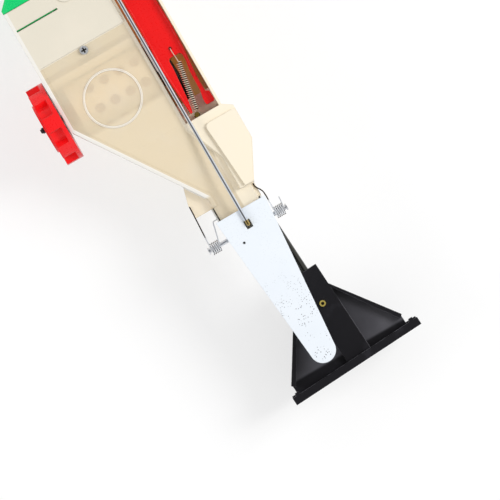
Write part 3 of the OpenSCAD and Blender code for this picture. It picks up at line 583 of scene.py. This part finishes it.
turns = np.linspace(0, SPRING_TURNS, SPRING_TURNS * TURN_STATIONS + 1)[:, None]
coil_axis = (coil_end - coil_top) / np.linalg.norm(coil_end - coil_top)
sideways = np.cross(coil_axis, (0, 1, 0))
angle = turns * 2 * np.pi
helix = (coil_top + (coil_end - coil_top) * turns / SPRING_TURNS
         + SPRING_RADIUS * (np.cos(angle) * np.array([0, -1, 0]) + np.sin(angle) * sideways))
hook_path = smooth_path([*(hook + np.array(HOOK_BENDS)), helix[0]], LEG_STATIONS)
eye_turn = np.radians(np.linspace(*EYE_SWEEP, EYE_STATIONS))[:, None]
eye_lift = np.linspace(0, EYE_LIFT, EYE_STATIONS)[:, None]
eye_circle = np.cos(eye_turn) * (1, 0, 0) + np.sin(eye_turn) * (0, 0, 1)
eye = anchor + EYE_RADIUS * eye_circle + eye_lift * (0, 1, 0)
lead_out = smooth_path([helix[-1], (helix[-1] + eye[0]) / 2 + EYE_LEAD, eye[0]], LEG_STATIONS)
spring_path = np.vstack([hook_path[:-1], helix[:-1], lead_out[:-1], eye]) * MM
return_spring = wire_mesh("return_spring_wire", spring_path, SPRING_WIRE / 2 * MM, return_steel)
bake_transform(return_spring)
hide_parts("return_spring")
print("return spring points:", len(spring_path))

# %% [markdown]
# Two torsion springs sit on the hinge stubs and close the beak. One leg of each rests on
# an ear of the housing and the other on the flap. Each is given by its coil's span along X
# and its two legs, in millimetres.

# %% Torsion springs
TORSION_TURNS = 5
TORSION_STATIONS = 32
TORSION_WIRE = 1.2
TORSION_RADIUS = 5.0
HINGE = np.array([0.0, -22.0, 158.4])
LEFT_SPAN = (-40.5, -31.5)
LEFT_HOUSING_LEG = [(-38.4, -17.4, 202), (-38.6, -17.6, 196), (-39.8, -24, 172)]
LEFT_FLAP_LEG = [
    (-30.4, -28, 164.5), (-28.4, -28.5, 172.5), (-27, -29, 178.4), (-25.4, -29, 179.6), (-22, -29, 179.8),
]
RIGHT_SPAN = (26.4, 35.2)
RIGHT_HOUSING_LEG = [(22.2, -17.2, 191.8), (22.4, -17.2, 188), (26.2, -19.5, 181), (26.6, -25, 170)]
RIGHT_FLAP_LEG = [(35.9, -27.6, 165), (36.2, -27.6, 170)]


def torsion_coil(start, end):
    """Helix round the hinge line: X runs from start to end, Y and Z go round."""
    turn = np.linspace(0, TORSION_TURNS, TORSION_TURNS * TORSION_STATIONS + 1)
    angle = turn * 2 * np.pi
    across = start + (end - start) * turn / TORSION_TURNS
    return np.stack([across, HINGE[1] - TORSION_RADIUS * np.cos(angle),
                     HINGE[2] - TORSION_RADIUS * np.sin(angle)], axis=1)


def torsion_spring(name, replaced, span, housing_leg, flap_leg):
    """One wire: the leg on the housing, the coil, and the leg on the flap."""
    coil = torsion_coil(*span)
    lead_in = smooth_path([*housing_leg, coil[0]], LEG_STATIONS)
    lead_out = smooth_path([coil[-1], *flap_leg], LEG_STATIONS)
    path = np.vstack([lead_in[:-1], coil[:-1], lead_out]) * MM
    piece = wire_mesh(name, path, TORSION_WIRE / 2 * MM, spring_steel)
    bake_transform(piece)
    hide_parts(replaced)
    print(name, "points:", len(path))


torsion_spring("torsion_wire_left", "torsion_spring_left", LEFT_SPAN, LEFT_HOUSING_LEG, LEFT_FLAP_LEG)
torsion_spring("torsion_wire_right", "torsion_spring_right", RIGHT_SPAN, RIGHT_HOUSING_LEG, RIGHT_FLAP_LEG)

# %% [markdown]
# The planter lies on a white table. The table shows only to rays that arrive from the
# front, and lets lamp light through, so that it never darkens the back of the object. It
# still keeps the object's shadow: about half of its white is its own, and the rest is lit.

# %% Floor
TABLE_Y = 0.075
TABLE_SIZE = 6.0
OWN_WHITE = 0.56

corners = np.array([(-1, 0, -1), (1, 0, -1), (1, 0, 1), (-1, 0, 1)]) * TABLE_SIZE / 2 + (0, TABLE_Y, 0)
table_mesh = bpy.data.meshes.new("table")
table_mesh.from_pydata(corners.tolist(), [], [(0, 1, 2, 3)])
table = bpy.data.objects.new("table", table_mesh)
bpy.context.scene.collection.objects.link(table)

white = Finish("white_table")
white.set(base_color=colour(255, 255, 255), roughness=1.0, specular_ior_level=0.0)
shown = white.rays("Is Camera Ray") + white.rays("Is Glossy Ray") + white.rays("Is Transmission Ray")
shown = shown * (1 - white.node("ShaderNodeNewGeometry", out="Backfacing"))
clear = white.node("ShaderNodeBsdfTransparent")
glow = white.node("ShaderNodeEmission", None, {"Color": (1, 1, 1, 1), "Strength": 1.0})
lit = Value(white, white.shader.outputs[0])
paper = white.node("ShaderNodeMixShader", None, {0: OWN_WHITE, 1: lit, 2: glow})
joined = white.node("ShaderNodeMixShader", None, {0: shown, 1: clear, 2: paper})
white.feed(white.tree.nodes["Material Output"].inputs["Surface"], joined)
table_mesh.materials.append(white.material)

# %% [markdown]
# The light is that of a photographer's tent: an even surround, one broad lamp from the
# right and weaker ones from the left and from behind. The lamps stand outside the tent, so
# reflections see only its white wall, with the dark hole that the lens looks through and a
# dimmer floor, which gives the metal its contrast.

# %% Light
SURROUND = 0.6
LENS_HOLE = (-0.92, 0.47)
HOLE_TONE = 0.16
HOLE_LEFT = 0.3
TENT_FLOOR = (-0.15, 0.3)
FLOOR_TONE = 0.5
MIDDLE = (-0.01, 0, 0.3)
LAMPS = {
    "lamp_right": {"position": (1.54, -1.7, 0.1), "size": 1.0, "power": 27},
    "lamp_left": {"position": (-2.0, -1.2, 0.6), "size": 1.2, "power": 13},
    "lamp_back": {"position": (0.6, 1.9, 1.2), "size": 1.4, "power": 18},
}

world = bpy.data.worlds.new("tent")
bpy.context.scene.world = world
world.use_nodes = True
tent = Graph(world.node_tree, "Generated")
depth = tent.axis("Y")
facing = depth + tent.axis("X") * HOLE_LEFT
wall = facing.above(*LENS_HOLE).spread(HOLE_TONE, 1.0) * depth.above(*TENT_FLOOR).spread(1.0, FLOOR_TONE)
seen = tent.rays("Is Camera Ray")
mirrored = tent.rays("Is Glossy Ray")
strength = seen + mirrored * wall + (1 - seen - mirrored) * SURROUND
tent.feed(world.node_tree.nodes["Background"].inputs["Color"], (1, 1, 1, 1))
tent.feed(world.node_tree.nodes["Background"].inputs["Strength"], strength)


def softbox(name, position, size, power):
    """A round lamp that looks at the planter's middle and isn't seen in reflections."""
    lamp = bpy.data.lights.new(name, "AREA")
    lamp.shape = "DISK"
    lamp.size = size
    lamp.energy = power
    holder = bpy.data.objects.new(name, lamp)
    holder.location = position
    holder.rotation_euler = (Vector(MIDDLE) - Vector(position)).to_track_quat("-Z", "Y").to_euler()
    holder.visible_glossy = False
    bpy.context.scene.collection.objects.link(holder)


for name, settings in LAMPS.items():
    softbox(name, **settings)
bpy.context.scene.view_settings.view_transform = "Standard"
